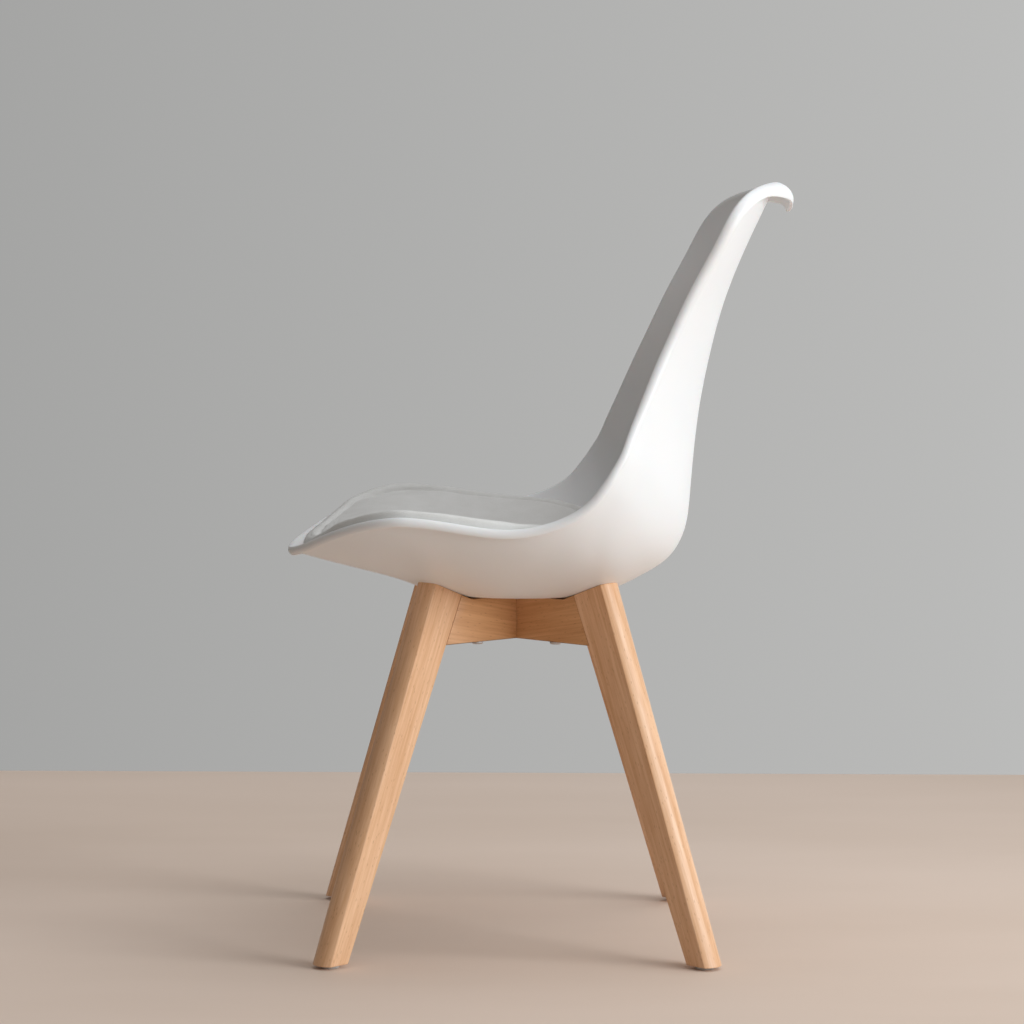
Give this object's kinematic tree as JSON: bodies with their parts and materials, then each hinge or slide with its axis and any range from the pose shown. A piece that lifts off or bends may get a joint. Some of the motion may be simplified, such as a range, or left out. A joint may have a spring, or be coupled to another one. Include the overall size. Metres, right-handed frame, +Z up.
{
  "type": "dining chair",
  "caption": "Dining chair: moulded bucket seat and back with a rolled lip, padded seat, splayed wooden legs and crossed rails.",
  "frame": {"origin": "middle of the chair's overall width and depth, on the floor under the glides", "axes": "+Z up, -Y the way the sitter faces, +X the sitter's left"},
  "size_m": [0.5088, 0.5417, 0.8168],
  "materials": {
    "shell": "white moulded polypropylene, satin with a very fine texture",
    "pad_cover": "white leatherette, soft satin, fine grain",
    "pad_foam": null,
    "pad_board": "plain plywood",
    "pad_screws": "zinc plated",
    "rails": "beech, clear matt lacquer, grain along the rail",
    "legs": "beech, clear matt lacquer, grain along the leg",
    "dowels": "plain birch",
    "inserts": "plain brass",
    "bolts": "zinc plated",
    "glides": "light grey plastic",
    "nails": "zinc plated"
  },
  "bodies": {
    "root": {"seat_shell": "shell", "pad_cover": "pad_cover", "pad_foam": "pad_foam", "pad_board": "pad_board", "pad_screw_left": "pad_screws", "pad_screw_rear": "pad_screws", "pad_screw_right": "pad_screws", "pad_screw_front": "pad_screws", "rail_front_left_to_rear_right": "rails", "rail_rear_left_to_front_right": "rails", "leg_front_left": "legs", "leg_rear_left": "legs", "leg_rear_right": "legs", "leg_front_right": "legs", "dowel_front_left_lower": "dowels", "dowel_front_left_upper": "dowels", "dowel_rear_left_lower": "dowels", "dowel_rear_left_upper": "dowels", "dowel_rear_right_lower": "dowels", "dowel_rear_right_upper": "dowels", "dowel_front_right_lower": "dowels", "dowel_front_right_upper": "dowels", "insert_front_left": "inserts", "insert_rear_left": "inserts", "insert_rear_right": "inserts", "insert_front_right": "inserts", "bolt_front_left": "bolts", "bolt_rear_left": "bolts", "bolt_rear_right": "bolts", "bolt_front_right": "bolts", "glide_front_left": "glides", "glide_rear_left": "glides", "glide_rear_right": "glides", "glide_front_right": "glides", "glide_nail_front_left": "nails", "glide_nail_rear_left": "nails", "glide_nail_rear_right": "nails", "glide_nail_front_right": "nails"}
  },
  "joints": []
}
